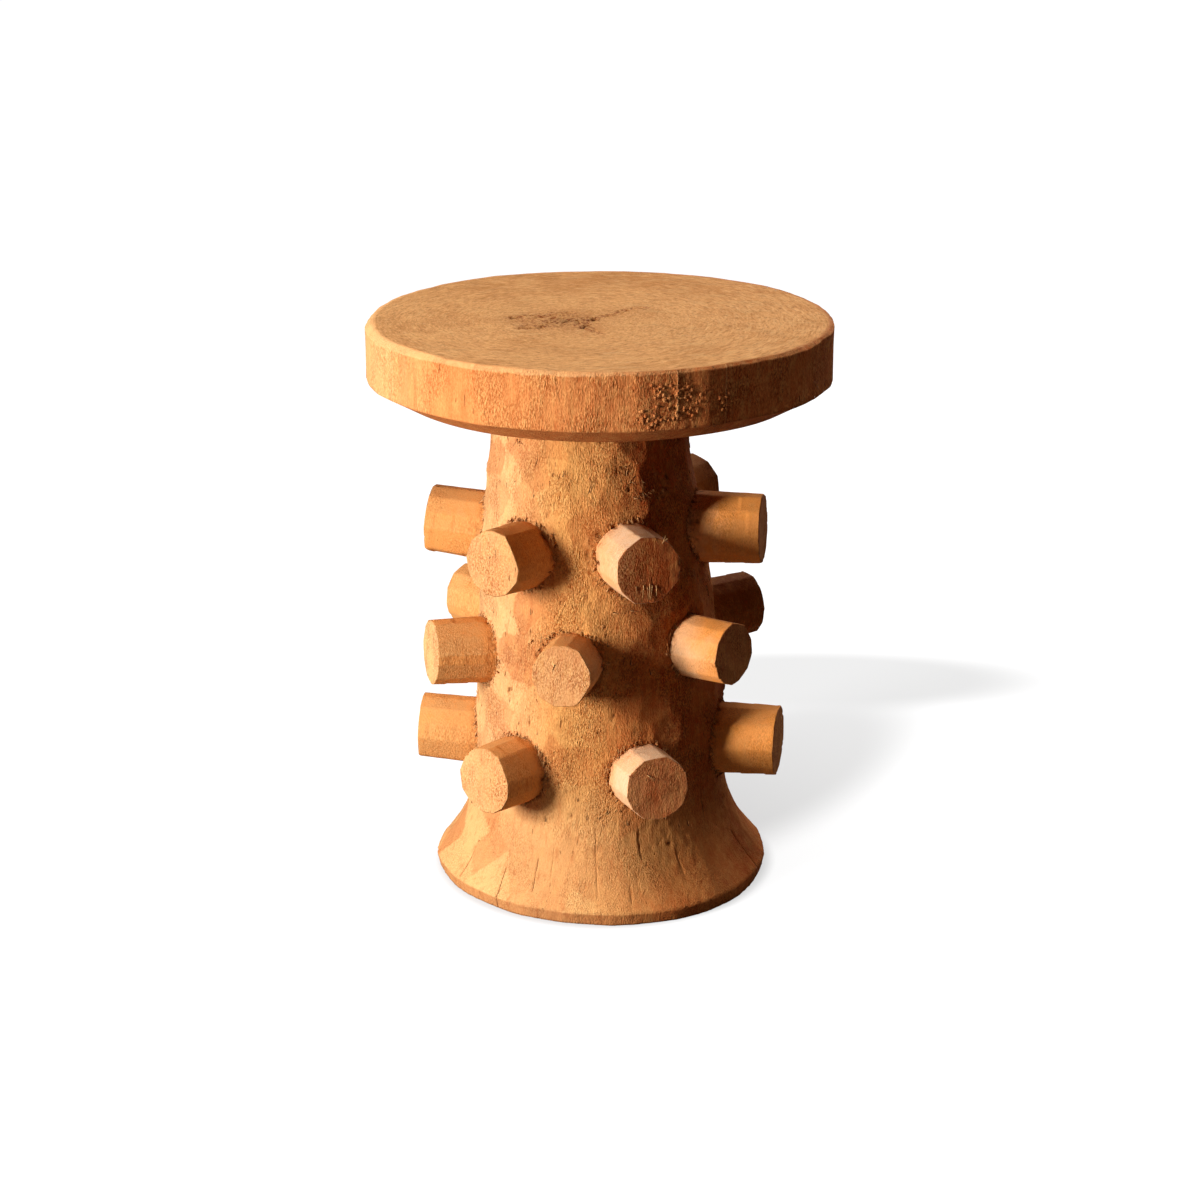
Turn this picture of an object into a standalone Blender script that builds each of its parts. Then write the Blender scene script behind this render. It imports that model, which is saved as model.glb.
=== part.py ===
# Carved wooden stool: a thick round seat on a flared column that carries three staggered rows of pegs.
# The seat sits on a round tenon at the column's neck, and every peg has a round tenon in a blind socket.
# Metres, +Z up. The floor is z = 0, the seat's centre is over the origin, and the front faces -Y.

import random
from math import cos, pi, radians, sin

import bmesh
import bpy
from mathutils import Vector

# Fits
FIT_GAP = 0.0003
CUT_OVERRUN = 0.002

# Seat
STOOL_HEIGHT = 0.450
SEAT_DIAMETER = 0.358
SEAT_THICKNESS = 0.057
SEAT_EDGE_EASE = 0.004
SEAT_BEVEL_DROP = 0.014
SEAT_BEVEL_INSET = 0.025
SEAT_WAVER = 0.0013
SEAT_SIDES = 56

# Column, from the foot up
FOOT_DIAMETER = 0.266
FOOT_LIP = 0.010
FOOT_UNDERCUT = 0.002
FOOT_WAVER = 0.0020
FOOT_SHIFT = 0.003
FLARE_HEIGHT = 0.085
WAIST_DIAMETER = 0.201
NECK_DIAMETER = 0.144
SHAFT_SWELL = 0.004
LEAN_START = 0.130
NECK_SHIFT = -0.0090
COLUMN_SIDES = 26
FLARE_COURSES = 4
SHAFT_COURSES = 8
HEWN_DEPTH = 0.0013

# Round tenons
SEAT_TENON_DIAMETER = 0.070
SEAT_TENON_LENGTH = 0.026
PEG_TENON_DIAMETER = 0.030
PEG_TENON_LENGTH = 0.036
SEAT_TENON_SIDES = 32
PEG_TENON_SIDES = 16

# Pegs: the low row stands above the flare, the top row hangs below the seat, the middle row is halfway
LOW_ROW_RISE = 0.027
TOP_ROW_DROP = 0.107
PEG_DIAMETER = 0.050
PEG_STAND = 0.044
PEG_TAPER = 0.001
PEG_EDGE_EASE = 0.0012
PEG_SIDES = 14
PEG_FACET_DEPTH = 0.0007

# Each peg as it was carved: name, turn from the front towards +X in degrees, upward tilt in degrees,
# and how far its tip's height, its stand and its diameter differ from the common sizes, in metres
TOP_ROW = (
    ("peg_top_left", -101, 5, -0.003, 0.002, 0.003),
    ("peg_top_front_left", -37, 4, -0.002, -0.004, 0.001),
    ("peg_top_front_right", 19, 3, -0.001, -0.002, 0.002),
    ("peg_top_right", 79, 1, 0.003, 0.006, 0.004),
    ("peg_top_rear_right", 140, 2, 0.003, 0.002, 0.000),
    ("peg_top_rear_left", -160, 2, -0.002, 0.001, 0.000),
)
MIDDLE_ROW = (
    ("peg_middle_rear_left", -127, 2, 0.002, 0.000, 0.000),
    ("peg_middle_left", -72, 3, -0.006, 0.000, 0.001),
    ("peg_middle_front", -12, 5, 0.005, -0.006, -0.002),
    ("peg_middle_front_right", 51, 3, 0.007, -0.003, -0.002),
    ("peg_middle_rear_right", 118, 3, -0.001, 0.002, 0.000),
    ("peg_middle_rear", 176, 2, 0.000, 0.000, 0.000),
)
LOW_ROW = (
    ("peg_low_left", -96, 4, -0.002, 0.002, 0.002),
    ("peg_low_front_left", -40, 3, -0.002, -0.005, 0.002),
    ("peg_low_front_right", 19, 5, 0.001, -0.008, 0.000),
    ("peg_low_right", 76, 2, 0.004, 0.003, 0.004),
    ("peg_low_rear_right", 142, 2, 0.001, -0.003, 0.000),
    ("peg_low_rear_left", -157, 2, -0.002, -0.003, 0.000),
)

# Wood colours and finish
SEAT_COLOUR = (0.50, 0.26, 0.10, 1.0)
COLUMN_COLOUR = (0.53, 0.25, 0.09, 1.0)
PEG_COLOUR = (0.58, 0.30, 0.12, 1.0)
WOOD_ROUGHNESS = 0.85

CARVING_SEED = 11
SMOOTH_ANGLE = radians(25)

seat_underside = STOOL_HEIGHT - SEAT_THICKNESS
column_top = seat_underside - FIT_GAP
carver = random.Random(CARVING_SEED)


def remove_old_objects():
    for old in list(bpy.data.objects):
        bpy.data.objects.remove(old, do_unlink=True)


def wood(name, colour):
    material = bpy.data.materials.new(name)
    material.use_nodes = True
    shader = material.node_tree.nodes["Principled BSDF"]
    shader.inputs["Base Color"].default_value = colour
    shader.inputs["Roughness"].default_value = WOOD_ROUGHNESS
    shader.inputs["Metallic"].default_value = 0.0
    return material


def blend(start, end, share):
    return start + (end - start) * share


def smooth_step(share):
    share = min(max(share, 0.0), 1.0)
    return share * share * (3.0 - 2.0 * share)


def loft(rings):
    """A closed solid through rings of points, each ring with as many points as the first."""
    bm = bmesh.new()
    loops = [[bm.verts.new(point) for point in ring] for ring in rings]
    sides = len(loops[0])
    for lower, upper in zip(loops, loops[1:]):
        for i in range(sides):
            j = (i + 1) % sides
            bm.faces.new((lower[i], lower[j], upper[j], upper[i]))
    bm.faces.new(reversed(loops[0]))
    bm.faces.new(loops[-1])
    bmesh.ops.recalc_face_normals(bm, faces=bm.faces)
    return bm


def add_cylinder(bm, start, end, diameter, sides):
    """A round bar from start to end, added to bm as a separate body."""
    run = end - start
    bar = bmesh.ops.create_cone(
        bm, cap_ends=True, segments=sides, radius1=diameter / 2, radius2=diameter / 2, depth=run.length
    )
    bmesh.ops.rotate(bm, verts=bar["verts"], matrix=run.to_track_quat("Z", "Y").to_matrix())
    bmesh.ops.translate(bm, verts=bar["verts"], vec=(start + end) / 2)


def to_object(bm, name, parent=None, material=None):
    mesh = bpy.data.meshes.new(name)
    bm.to_mesh(mesh)
    bm.free()
    piece = bpy.data.objects.new(name, mesh)
    bpy.context.collection.objects.link(piece)
    piece.parent = parent
    if material:
        mesh.materials.append(material)
        mesh.shade_smooth()
        mesh.set_sharp_from_angle(angle=SMOOTH_ANGLE)
    return piece


def as_cutter(piece):
    piece.hide_render = True
    piece.display_type = "WIRE"
    return piece


def cut(piece, cutter):
    modifier = piece.modifiers.new(cutter.name, "BOOLEAN")
    modifier.operation = "DIFFERENCE"
    modifier.solver = "EXACT"
    modifier.object = cutter


def column_radius(height):
    """The turned radius of the column: undercut lip, hollow flare, then a straight taper with a slight swell."""
    foot = FOOT_DIAMETER / 2
    waist = WAIST_DIAMETER / 2
    if height < FOOT_LIP:
        return foot - FOOT_UNDERCUT * (1.0 - height / FOOT_LIP)
    if height < FLARE_HEIGHT:
        share = (FLARE_HEIGHT - height) / (FLARE_HEIGHT - FOOT_LIP)
        return blend(waist, foot, share * share)
    share = (height - FLARE_HEIGHT) / (column_top - FLARE_HEIGHT)
    return blend(waist, NECK_DIAMETER / 2, share) + SHAFT_SWELL * sin(pi * share)


def footing(height):
    """How much of the foot's own outline shows at a height: all of it at the floor, none above the flare."""
    return smooth_step(1.0 - height / FLARE_HEIGHT) ** 2


def column_centre(height):
    """The foot stands off to one side of the shaft, and the shaft leans to the other side towards its neck."""
    lean = smooth_step((height - LEAN_START) / (column_top - LEAN_START))
    return FOOT_SHIFT * footing(height) + NECK_SHIFT * lean


def column_courses():
    """Heights of the hewn courses, closer together on the flare."""
    heights = [0.0]
    for i in range(FLARE_COURSES):
        heights.append(blend(FOOT_LIP, FLARE_HEIGHT, i / FLARE_COURSES))
    for i in range(SHAFT_COURSES + 1):
        heights.append(blend(FLARE_HEIGHT, column_top, i / SHAFT_COURSES))
    return heights


def carve_column_marks():
    """One depth for each adze cut, so that the column and the pegs' shoulders share the same facets."""
    return [[carver.uniform(-HEWN_DEPTH, HEWN_DEPTH) for _ in range(COLUMN_SIDES)] for _ in column_courses()]


def column_rings(marks, grow):
    rings = []
    for course, (height, depths) in enumerate(zip(column_courses(), marks)):
        stagger = 0.5 * (course % 2)
        ring = []
        for side, depth in enumerate(depths):
            angle = 2 * pi * (side + stagger) / COLUMN_SIDES
            waver = -FOOT_WAVER * footing(height) * cos(3 * angle)
            radius = column_radius(height) + waver + depth + grow
            ring.append((column_centre(height) + radius * cos(angle), radius * sin(angle), height))
        rings.append(ring)
    return rings


def stagger_safe_loft(rings):
    """A loft whose side faces are split into triangles, because staggered courses aren't flat four-sided."""
    bm = loft(rings)
    sides = [face for face in bm.faces if len(face.verts) == 4]
    bmesh.ops.triangulate(bm, faces=sides)
    return bm


def outward(turn, tilt):
    """The direction that a peg points in."""
    return Vector((sin(turn) * cos(tilt), -cos(turn) * cos(tilt), sin(tilt)))


def peg_layout():
    """Every peg's name, foot on the column's axis, turn, tilt, tip distance, root distance and diameter."""
    low = FLARE_HEIGHT + LOW_ROW_RISE
    top = seat_underside - TOP_ROW_DROP
    layout = []
    for row, row_height in ((TOP_ROW, top), (MIDDLE_ROW, (low + top) / 2), (LOW_ROW, low)):
        for name, turn, tilt, rise, extra_stand, extra_girth in row:
            tip_height = row_height + rise
            wall = column_radius(tip_height)
            tip = wall + PEG_STAND + extra_stand
            foot_height = tip_height - tip * sin(radians(tilt))
            layout.append({
                "name": name,
                "foot": Vector((column_centre(foot_height), 0.0, foot_height)),
                "turn": radians(turn),
                "tilt": radians(tilt),
                "tip": tip,
                "root": wall - PEG_TENON_LENGTH,
                "wall": wall,
                "diameter": PEG_DIAMETER + extra_girth,
            })
    return layout


def peg_tenons(layout, clearance):
    """All the peg tenons as bars, widened and deepened by the clearance, to drill the column with."""
    bm = bmesh.new()
    for peg in layout:
        direction = outward(peg["turn"], peg["tilt"])
        inner = peg["foot"] + direction * (peg["root"] - clearance)
        outer = peg["foot"] + direction * (peg["wall"] + PEG_STAND)
        add_cylinder(bm, inner, outer, PEG_TENON_DIAMETER + 2 * clearance, PEG_TENON_SIDES)
    return bm


def peg_blank(peg):
    """A whittled bar along -Y, from inside the column to the tip, a little thicker where it leaves the column."""
    tip_radius = peg["diameter"] / 2
    root_radius = tip_radius + PEG_TAPER
    halfway = (peg["wall"] + peg["tip"]) / 2
    stations = (
        (peg["root"] - CUT_OVERRUN, root_radius),
        (halfway, blend(root_radius, tip_radius, 0.6)),
        (peg["tip"] - PEG_EDGE_EASE, tip_radius),
        (peg["tip"], tip_radius - PEG_EDGE_EASE),
    )
    facets = []
    for side in range(PEG_SIDES):
        shift = carver.uniform(-0.25, 0.25)
        facets.append((2 * pi * (side + shift) / PEG_SIDES, carver.uniform(-PEG_FACET_DEPTH, PEG_FACET_DEPTH)))
    rings = []
    for distance, radius in stations:
        ring = []
        for angle, depth in facets:
            ring.append(((radius + depth) * cos(angle), -distance, (radius + depth) * sin(angle)))
        rings.append(ring)
    return loft(rings)


def seat_outline():
    """The rim's radius all round, drawn by eye: a circle with a slow waver, centred on its own box."""
    points = []
    for side in range(SEAT_SIDES):
        angle = 2 * pi * side / SEAT_SIDES
        waver = cos(2 * angle + 0.8) + 0.7 * cos(5 * angle + 2.0) + 0.5 * cos(9 * angle + 0.4)
        radius = SEAT_DIAMETER / 2 + SEAT_WAVER * (waver / 2 - 0.5)
        points.append(Vector((radius * cos(angle), radius * sin(angle))))
    centre_x = (min(p.x for p in points) + max(p.x for p in points)) / 2
    centre_y = (min(p.y for p in points) + max(p.y for p in points)) / 2
    return [p - Vector((centre_x, centre_y)) for p in points]


def seat_blank():
    """The seat as a disc with an eased top edge, an upright rim and a shallow bevel under the rim."""
    outline = seat_outline()
    rim_bottom = seat_underside + SEAT_BEVEL_DROP
    stations = (
        (seat_underside, SEAT_BEVEL_INSET),
        (rim_bottom, 0.0),
        (STOOL_HEIGHT - SEAT_EDGE_EASE, 0.0),
        (STOOL_HEIGHT - SEAT_EDGE_EASE * 0.3, SEAT_EDGE_EASE * 0.3),
        (STOOL_HEIGHT, SEAT_EDGE_EASE),
    )
    rings = []
    for height, inset in stations:
        ring = []
        for point in outline:
            edge = point * (1.0 - inset / point.length)
            ring.append((edge.x, edge.y, height))
        rings.append(ring)
    return loft(rings)


def seat_tenon(clearance):
    """The round tenon on the neck, as a bar; the clearance makes it the mortise in the seat."""
    bm = bmesh.new()
    centre = column_centre(column_top)
    bottom = Vector((centre, 0.0, column_top - CUT_OVERRUN))
    top = Vector((centre, 0.0, column_top + SEAT_TENON_LENGTH + clearance))
    add_cylinder(bm, bottom, top, SEAT_TENON_DIAMETER + 2 * clearance, SEAT_TENON_SIDES)
    return bm


def join(piece, addition):
    modifier = piece.modifiers.new(addition.name, "BOOLEAN")
    modifier.operation = "UNION"
    modifier.solver = "EXACT"
    modifier.object = addition


remove_old_objects()
stool = bpy.data.objects.new("stool", None)
bpy.context.collection.objects.link(stool)

# Seat with its blind mortise
seat = to_object(seat_blank(), "seat", stool, wood("seat_wood", SEAT_COLOUR))
cut(seat, as_cutter(to_object(seat_tenon(FIT_GAP), "seat_mortise", stool)))

# Column with its neck tenon and eighteen blind sockets
pegs = peg_layout()
adze_marks = carve_column_marks()
column_blank = stagger_safe_loft(column_rings(adze_marks, 0.0))
column = to_object(column_blank, "column", stool, wood("column_wood", COLUMN_COLOUR))
join(column, as_cutter(to_object(seat_tenon(0.0), "neck_tenon", stool)))
cut(column, as_cutter(to_object(peg_tenons(pegs, FIT_GAP), "peg_sockets", stool)))

# The scribe is the column's skin with room for the tenons only: it shapes each peg's shoulder and tenon
scribe_blank = stagger_safe_loft(column_rings(adze_marks, FIT_GAP))
scribe = as_cutter(to_object(scribe_blank, "shoulder_scribe", stool))
cut(scribe, as_cutter(to_object(peg_tenons(pegs, 0.0), "peg_tenons", stool)))

# Pegs
for peg in pegs:
    piece = to_object(peg_blank(peg), peg["name"], stool, wood(peg["name"] + "_wood", PEG_COLOUR))
    piece.location = peg["foot"]
    piece.rotation_euler = (-peg["tilt"], 0.0, peg["turn"])
    cut(piece, scribe)
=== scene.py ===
import random
from math import cos, degrees, pi, radians, sin

import bmesh
import bpy
import numpy as np
from mathutils import Matrix, Vector, noise
from mathutils.bvhtree import BVHTree


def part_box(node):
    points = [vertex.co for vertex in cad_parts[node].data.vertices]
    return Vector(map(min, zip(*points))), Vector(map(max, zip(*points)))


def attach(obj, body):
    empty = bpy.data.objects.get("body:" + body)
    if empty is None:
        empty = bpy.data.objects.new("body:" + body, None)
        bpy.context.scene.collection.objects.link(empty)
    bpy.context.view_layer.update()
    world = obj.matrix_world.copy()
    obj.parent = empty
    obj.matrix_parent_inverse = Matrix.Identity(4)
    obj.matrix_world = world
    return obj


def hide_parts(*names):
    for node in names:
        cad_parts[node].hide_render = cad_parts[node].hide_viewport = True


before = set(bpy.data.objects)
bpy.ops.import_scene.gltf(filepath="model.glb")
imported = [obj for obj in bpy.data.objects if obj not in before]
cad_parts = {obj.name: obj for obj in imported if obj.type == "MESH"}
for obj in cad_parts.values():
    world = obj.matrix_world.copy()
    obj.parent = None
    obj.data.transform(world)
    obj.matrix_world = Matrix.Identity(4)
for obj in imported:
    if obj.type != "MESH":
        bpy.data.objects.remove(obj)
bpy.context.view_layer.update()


# Column
# The trunk of the stool, hewn with an adze: a flared foot, a leaning, tapering shaft and a plain neck.
# The wood is left as the blade cut it, in shallow facets with torn fibres, and it has cracked as it dried.
# Its neck goes up into the seat, and eighteen pegs stand in sockets round its shaft.

FOOT_RADIUS = 0.133
FOOT_LIP = 0.010
FOOT_UNDERCUT = 0.002
FOOT_WAVER = 0.0020
FOOT_SHIFT = 0.003
FLARE_HEIGHT = 0.085
WAIST_RADIUS = 0.1005
NECK_RADIUS = 0.072
SHAFT_SWELL = 0.004
LEAN_START = 0.130
NECK_SHIFT = -0.0090
NECK_IN_SEAT = 0.004
COLUMN_ROWS = 240
COLUMN_STEPS = 396
COLUMN_FIBRE_LENGTH = 2.2
COLUMN_RELIEF = 0.0014
ADZE_COURSES = 16
ADZE_STROKES = 22
COURSE_HEIGHT = 0.026
FOOT_COURSES = 3
FACET_EDGE = 0.00003
HEWN_OFF = 0.0004
TEAR_DEPTH = 0.0015
ROOT_REACH = 0.0045
CREVICE_REACH = 0.0018
CREVICE_DEPTH = 0.0018
SEED_STEP = 7.31

seat_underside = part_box("seat")[0].z
stool_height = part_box("seat")[1].z


def smooth_step(share):
    share = np.clip(share, 0.0, 1.0)
    return share * share * (3.0 - 2.0 * share)


def column_radius(height):
    """The column's radius at its heights: undercut lip, hollow flare, then a taper with a slight swell."""
    lip = FOOT_RADIUS - FOOT_UNDERCUT * (1.0 - height / FOOT_LIP)
    spread = (FLARE_HEIGHT - height) / (FLARE_HEIGHT - FOOT_LIP)
    flare = WAIST_RADIUS + (FOOT_RADIUS - WAIST_RADIUS) * spread**2
    climb = (height - FLARE_HEIGHT) / (seat_underside - FLARE_HEIGHT)
    shaft = WAIST_RADIUS + (NECK_RADIUS - WAIST_RADIUS) * climb + SHAFT_SWELL * np.sin(pi * climb)
    return np.where(height < FOOT_LIP, lip, np.where(height < FLARE_HEIGHT, flare, shaft))


def footing(height):
    """How much of the foot's own outline shows at a height: all of it at the floor, none above the flare."""
    return smooth_step(1.0 - height / FLARE_HEIGHT) ** 2


def column_centre(height):
    """The foot stands off to one side, and the shaft leans to the other side towards its neck."""
    lean = smooth_step((height - LEAN_START) / (seat_underside - LEAN_START))
    return FOOT_SHIFT * footing(height) + NECK_SHIFT * lean


def rolled(profile, steps):
    """A flat sheet rolled up round the z axis to a profile of (radius, height) points that starts and ends on
    the axis, with its seam and its poles closed."""
    rows = len(profile) - 1
    bm = bmesh.new()
    bmesh.ops.create_grid(bm, x_segments=steps, y_segments=rows, size=0.5)
    for vert in bm.verts:
        radius, height = profile[round((vert.co.y + 0.5) * rows)]
        angle = 2 * pi * vert.co.x
        vert.co = (radius * cos(angle), radius * sin(angle), height)
    bmesh.ops.remove_doubles(bm, verts=bm.verts, dist=1e-6)
    bmesh.ops.recalc_face_normals(bm, faces=bm.faces)
    return bm


def new_piece(bm, name, material):
    mesh = bpy.data.meshes.new(name)
    bm.to_mesh(mesh)
    bm.free()
    mesh.shade_smooth()
    mesh.materials.append(material)
    piece = bpy.data.objects.new(name, mesh)
    bpy.context.scene.collection.objects.link(piece)
    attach(piece, "root")
    return piece


def points_of(piece):
    flat = np.empty(len(piece.data.vertices) * 3)
    piece.data.vertices.foreach_get("co", flat)
    return flat.reshape(-1, 3)


def carve(piece, points):
    """Moves a piece's points to where the carving leaves them."""
    piece.data.vertices.foreach_set("co", points.ravel())
    piece.data.update()


def paint(piece, name, values):
    """Keeps a value from 0 to 1 at each point for the material to read."""
    attribute = piece.data.attributes.new(name, "FLOAT", "POINT")
    attribute.data.foreach_set("value", np.clip(values, 0.0, 1.0).astype(np.float32))


def ripple(points, size, seed=0.0, octaves=1):
    """Smooth random waves of about -1 to 1. Size is how far apart they lie, in metres, as one value or as
    one for each axis."""
    places = points / np.array(size) + SEED_STEP * seed
    return np.array([noise.fractal(place, 1.0, 2.0, octaves) for place in places.tolist()])


def above(values, threshold):
    """How far values rise over a threshold, as a share of what is left up to 1."""
    return np.clip((values - threshold) / (1.0 - threshold), 0.0, 1.0)


def wrapped(angle):
    return (angle + pi) % (2 * pi) - pi


def facing(turn):
    """The angle round the z axis of a turn in degrees from the front, -Y, towards the right, +X."""
    return radians(turn - 90)


def hewn(angle, height, radius, cuts, edge):
    """How deep the blade has cut below the skin, and the tint of the cut that went deepest. Each cut is a
    flat scoop: angle, height, depth, breadth, length, tint. Edge is the rounding where two cuts meet."""
    total = np.full(len(angle), -60.0)
    deepest = np.full(len(angle), -1.0)
    tint = np.zeros(len(angle))
    for cut_angle, cut_height, depth, breadth, length, cut_tint in cuts:
        across = wrapped(angle - cut_angle) * radius
        along = height - cut_height
        scoop = depth - across**2 / (2 * breadth) - along**2 / (2 * length)
        total = np.logaddexp(total, scoop / edge)
        tint = np.where(scoop > deepest, cut_tint, tint)
        deepest = np.maximum(scoop, deepest)
    return total * edge, tint


def crack_open(angle, height, radius, cracks):
    """Draws the mesh together at each crack and returns the new angles and how deep the cracks are.
    A crack is its turn in degrees, lowest and highest point, half width and depth, in metres."""
    reach = 0.008
    squeeze = 0.13
    stray_by = 0.0011
    bend_length = 0.016
    samples = 400
    levels = np.linspace(0.0, stool_height, samples)
    deep = np.zeros(len(angle))
    for turn, low, high, half_width, depth in cracks:
        line = np.stack((np.full(samples, turn / 7.0), levels / bend_length, np.zeros(samples)), axis=1)
        wander = stray_by * np.interp(height, levels, ripple(line, 1.0, 0.4, 3))
        taper = 0.3 * (high - low)
        ends = smooth_step((height - low) / taper) * smooth_step((high - height) / taper)
        across = wrapped(angle - facing(turn)) * radius - wander
        near = (np.abs(across) < reach) & (ends > 0)
        pull = 1.0 - (1.0 - squeeze) * (1.0 - np.abs(across) / reach) * np.sqrt(ends)
        moved = np.where(near, across * pull, across)
        deep = np.where(near, deep + depth * ends * np.exp(-(moved / half_width) ** 2), deep)
        angle = np.where(near, angle + (moved - across) / radius, angle)
    return angle, deep


class Shade:
    """A socket in a material's node tree. Operators on values add Math nodes, and add() makes any node."""

    def __init__(self, tree, socket=None):
        self.tree = tree
        self.socket = socket

    def add(self, kind, settings=None, sockets=None, output=0):
        node = self.tree.nodes.new(kind)
        for name, value in (settings or {}).items():
            setattr(node, name, value)
        for key, value in (sockets or {}).items():
            if isinstance(value, Shade):
                self.tree.links.new(value.socket, node.inputs[key])
            else:
                node.inputs[key].default_value = value
        return Shade(self.tree, node.outputs[output])

    def math(self, operation, first, second):
        return self.add("ShaderNodeMath", {"operation": operation}, {0: first, 1: second})

    def __add__(self, other):
        return self.math("ADD", self, other)

    def __sub__(self, other):
        return self.math("SUBTRACT", self, other)

    def __rsub__(self, other):
        return self.math("SUBTRACT", other, self)

    def __mul__(self, other):
        return self.math("MULTIPLY", self, other)

    __radd__ = __add__
    __rmul__ = __mul__

    def rise(self, low, high):
        """0 below low, 1 above high and smooth between; with low above high it falls instead."""
        sockets = {"Value": self, "From Min": low, "From Max": high}
        return self.add("ShaderNodeMapRange", {"interpolation_type": "SMOOTHSTEP"}, sockets)

    def mix(self, amount, first, second):
        """A colour between first and second."""
        return self.add("ShaderNodeMix", {"data_type": "RGBA"}, {0: amount, 6: first, 7: second}, 2)

    def between(self, amount, first, second):
        """A value between first and second."""
        return self.add("ShaderNodeMix", {"data_type": "FLOAT"}, {0: amount, 2: first, 3: second})

    def times(self, amount):
        """This colour made darker or brighter."""
        return self.add("ShaderNodeVectorMath", {"operation": "SCALE"}, {0: self, "Scale": amount})

    def vector(self, operation, second, output=0):
        return self.add("ShaderNodeVectorMath", {"operation": operation}, {0: self, 1: second}, output)

    def axis(self, name):
        """One axis, X, Y or Z, of this vector."""
        return self.add("ShaderNodeSeparateXYZ", None, {0: self}, name)

    def grain(self, scale, detail=2.0, roughness=0.5):
        """Noise over this vector, about 0 to 1."""
        sockets = {"Vector": self, "Scale": scale, "Detail": detail, "Roughness": roughness}
        return self.add("ShaderNodeTexNoise", None, sockets)

    def painted(self, name):
        """A value that the points of the piece carry."""
        return self.add("ShaderNodeAttribute", {"attribute_name": name}, output="Fac")


def colour(red, green, blue):
    return (red, green, blue, 1.0)


WOOD_TAN = colour(0.75, 0.345, 0.098)
WOOD_RED = colour(0.45, 0.092, 0.018)
WOOD_PALE = colour(0.80, 0.450, 0.190)
WOOD_LIGHT = colour(0.80, 0.390, 0.120)
WOOD_BROWN = colour(0.33, 0.098, 0.023)
WOOD_DARK = colour(0.20, 0.050, 0.011)
WOOD_DEEP = colour(0.030, 0.009, 0.003)
GRAIN_DARK = colour(0.58, 0.37, 0.24)
GRAIN_LIGHT = colour(1.22, 1.38, 1.55)


def upright_wood(here, place, tan, red, length, torn, right_shade, left_light):
    """The colour and relief of wood cut along its fibres, which run upright: red patches of heartwood,
    streaks, short dark tick marks painted as the shade of small tears, and a fuzz that comes and goes, with a
    tint for each cut of the blade. Length is how many times longer than wide the fibre ends are. Torn is how
    much the blade has torn the wood, right_shade how far it turns red as painted shade on the side away from
    the lamp, and left_light how far it turns pale as painted light on the lit side, all from 0 to about 1."""
    upright = place.vector("MULTIPLY", (1.0, 1.0, 0.08))
    short = place.vector("MULTIPLY", (1.0, 1.0, 1.0 / length))
    squat = place.vector("MULTIPLY", (1.0, 1.0, 0.7))
    tint = here.painted("tint")
    patches = squat.grain(22.0, 5.0, 0.6)
    streaks = upright.grain(230.0, 4.0, 0.6)
    fibres = upright.grain(900.0, 3.0, 0.65)
    felt = short.grain(480.0, 2.0, 0.5)
    fuzz = short.grain(950.0, 2.0, 0.6)
    specks = short.grain(1150.0, 2.0, 0.7)
    mottle = squat.grain(130.0, 4.0, 0.6)
    tick_shade = place.vector("MULTIPLY", (1.0, 1.0, 0.22)).grain(480.0, 1.0, 0.4).rise(0.74, 0.79)
    rough = place.vector("MULTIPLY", (1.0, 1.0, 0.8)).grain(34.0, 3.0, 0.5).rise(0.38, 0.62) * 0.65 + 0.35
    wood = here.mix(patches.rise(0.48, 0.66) * (0.18 + 0.2 * right_shade) + right_shade * 0.75, tan, red)
    wood = here.mix(left_light, wood, WOOD_PALE)
    wood = here.mix(tint * 0.5, wood, red)
    wood = here.mix(streaks.rise(0.50, 0.70) * 0.3, wood, red)
    wood = here.mix(streaks.rise(0.48, 0.32) * 0.2, wood, WOOD_LIGHT)
    wood = here.mix(mottle.rise(0.50, 0.66) * (0.05 + 0.15 * torn), wood, WOOD_LIGHT)
    wood = here.mix(mottle.rise(0.48, 0.34) * (0.16 * torn), wood, red)
    wood = here.mix(rough * felt.rise(0.50, 0.64) * (0.05 + 0.12 * torn), wood, WOOD_LIGHT)
    wood = here.mix(rough * felt.rise(0.48, 0.34) * (0.05 + 0.15 * torn), wood, WOOD_RED)
    wood = here.mix(fibres.rise(0.50, 0.70) * 0.2, wood, WOOD_LIGHT)
    wood = here.mix(rough * fuzz.rise(0.50, 0.62) * (0.05 + 0.12 * torn), wood, WOOD_LIGHT)
    wood = here.mix(rough * fuzz.rise(0.48, 0.34) * (0.1 + 0.22 * torn), wood, WOOD_RED)
    wood = here.mix(tick_shade * (0.8 * torn), wood, WOOD_DARK)
    speckled = wood.vector("MULTIPLY", here.mix(specks.rise(0.32, 0.68), GRAIN_DARK, GRAIN_LIGHT))
    wood = here.mix(rough * (0.2 + 0.8 * torn), wood, speckled)
    relief = rough * torn * (fuzz * 2.0 + felt * 0.3) + torn * (mottle * 0.3 - tick_shade)
    return wood, relief + fibres * 0.3 + streaks * 0.2


def wood_material(name, offset):
    """A material, the start of its node tree, and the place of each point, shifted by an offset and plain."""
    material = bpy.data.materials.new(name)
    material.use_nodes = True
    here = Shade(material.node_tree)
    plain = here.add("ShaderNodeTexCoord", output="Object")
    return material, here, plain.vector("ADD", offset), plain


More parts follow.
